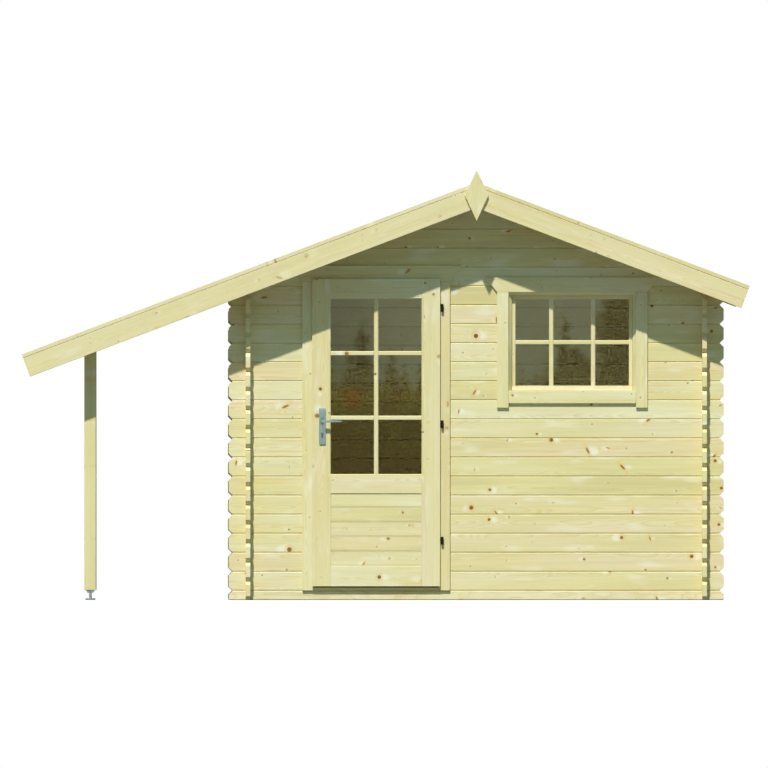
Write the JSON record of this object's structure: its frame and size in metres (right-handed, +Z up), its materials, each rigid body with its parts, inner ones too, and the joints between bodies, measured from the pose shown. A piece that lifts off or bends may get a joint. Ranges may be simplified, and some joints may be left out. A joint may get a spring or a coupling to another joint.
{
  "type": "garden house",
  "caption": "Log-built garden house with a gabled board roof, a half-glazed hinged door, a barred window and a lean-to roof carried on posts along its left side.",
  "frame": {"origin": "on the ground at the centre of the underside of the middle floor bearer, under the ridge and midway from front to back", "axes": "+X to the right along the front wall, +Y from the front to the back, +Z up"},
  "size_m": [4.406, 2.9473, 2.6004],
  "materials": {
    "pine_log": "planed, unpainted, pressure-treated pine with small knots",
    "pine_board": "planed, unpainted, pressure-treated pine boards",
    "pine_beam": "planed, unpainted, pressure-treated pine",
    "pine_joinery": "smooth planed pine joinery",
    "glass": "clear, dark with the unlit room behind",
    "satin_steel": "satin",
    "dark_hinge": "dark, semi-matt",
    "galvanised_steel": "galvanised, dull"
  },
  "bodies": {
    "house": {"base_logs": "pine_log", "front_wall_left": "pine_log", "front_wall_middle": "pine_log", "front_wall_right": "pine_log", "front_wall_lower": "pine_log", "front_gable": "pine_log", "back_wall": "pine_log", "back_gable": "pine_log", "left_wall": "pine_log", "right_wall": "pine_log", "floor": "pine_board", "left_roof": "pine_board", "right_roof": "pine_board", "front_left_barge_board": "pine_board", "front_right_barge_board": "pine_board", "back_left_barge_board": "pine_board", "back_right_barge_board": "pine_board", "eaves_boards": "pine_board", "finial": "pine_board", "floor_bearers": "pine_beam", "ridge_purlin": "pine_beam", "left_purlin": "pine_beam", "right_purlin": "pine_beam", "lean_to_beam": "pine_beam", "posts": "pine_beam", "door_frame": "pine_joinery", "door_threshold": "pine_joinery", "door_trims": "pine_joinery", "window_frame": "pine_joinery", "window_sash": "pine_joinery", "window_weather_bar": "pine_joinery", "window_trims": "pine_joinery", "window_glass": "glass", "hinge_frame_halves": "dark_hinge", "post_feet": "galvanised_steel"},
    "door": {"door_leaf": "pine_joinery", "door_panel": "pine_joinery", "door_glass": "glass", "handle_plates": "satin_steel", "hinge_leaf_halves": "dark_hinge"},
    "lever": {"door_lever": "satin_steel"}
  },
  "joints": [
    {"name": "door_hinge", "type": "hinge", "parent": "house", "child": "door", "pos_m": [-0.206, -1.1933, 1], "axis": [0, 0, 1], "range_deg": [0, 120]},
    {"name": "lever_turn", "type": "hinge", "parent": "door", "child": "lever", "pos_m": [-0.933, -1.1933, 1.083], "axis": [0, 1, 0], "range_deg": [0, 45], "stiffness_Nm_per_rad": 1.5, "springref_deg": -22.92}
  ]
}
